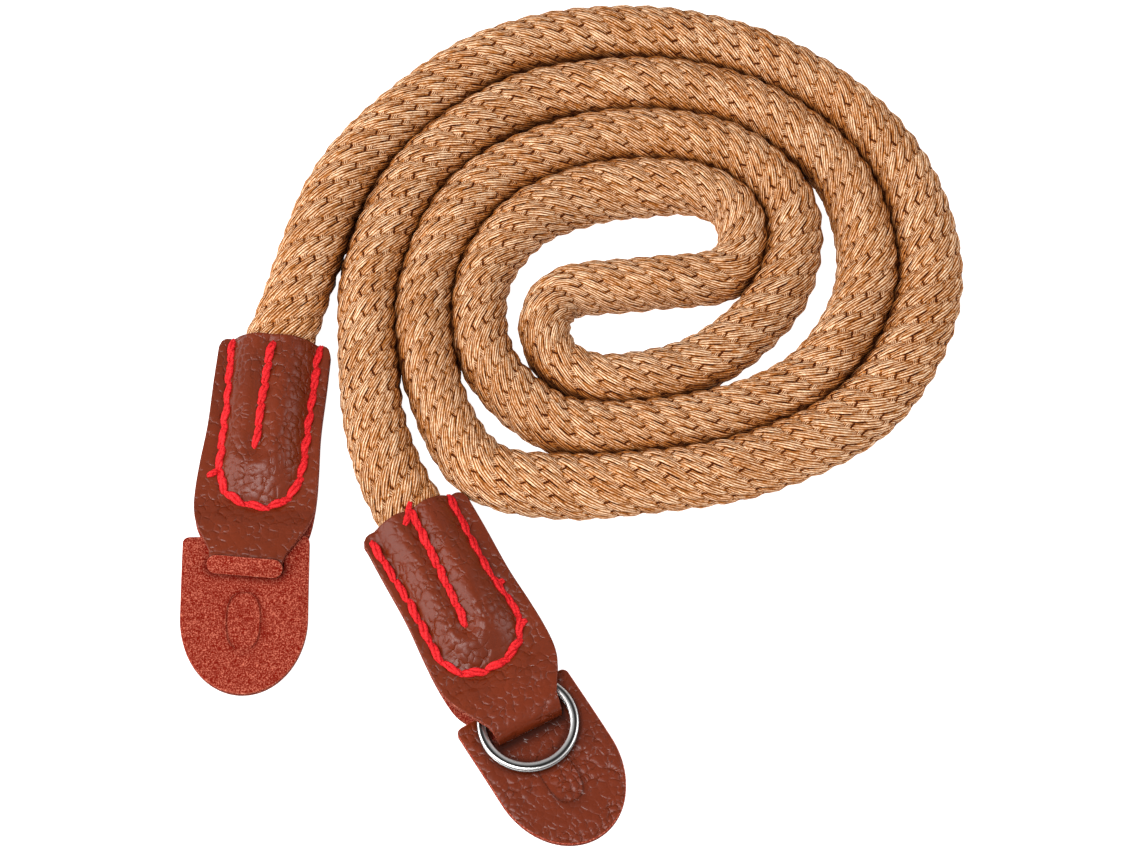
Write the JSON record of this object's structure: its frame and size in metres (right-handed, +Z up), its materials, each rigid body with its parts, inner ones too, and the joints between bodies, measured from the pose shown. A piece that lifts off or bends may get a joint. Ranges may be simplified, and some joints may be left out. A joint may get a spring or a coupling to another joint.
{
  "type": "rope camera strap",
  "caption": "Braided rope camera strap wound into a flat double spiral, with stitched leather end tabs that carry steel split rings and leather ring guards.",
  "frame": {"origin": "centre of the bounding box on the surface that the strap lies on", "axes": "+Z up from that surface, +Y from the leather ends towards the far side of the coil, +X to the right of it"},
  "size_m": [0.1547, 0.1812, 0.0118],
  "materials": {
    "rope": "tan braided polyester with a slight sheen",
    "leather": "brown pebbled leather with a red-brown suede back",
    "steel": "polished steel wire",
    "thread": "bright red waxed thread"
  },
  "bodies": {
    "root": {"rope": "rope", "left_tab": "leather", "right_tab": "leather", "left_protector": "leather", "right_protector": "leather", "left_ring": "steel", "right_ring": "steel"}
  },
  "joints": []
}
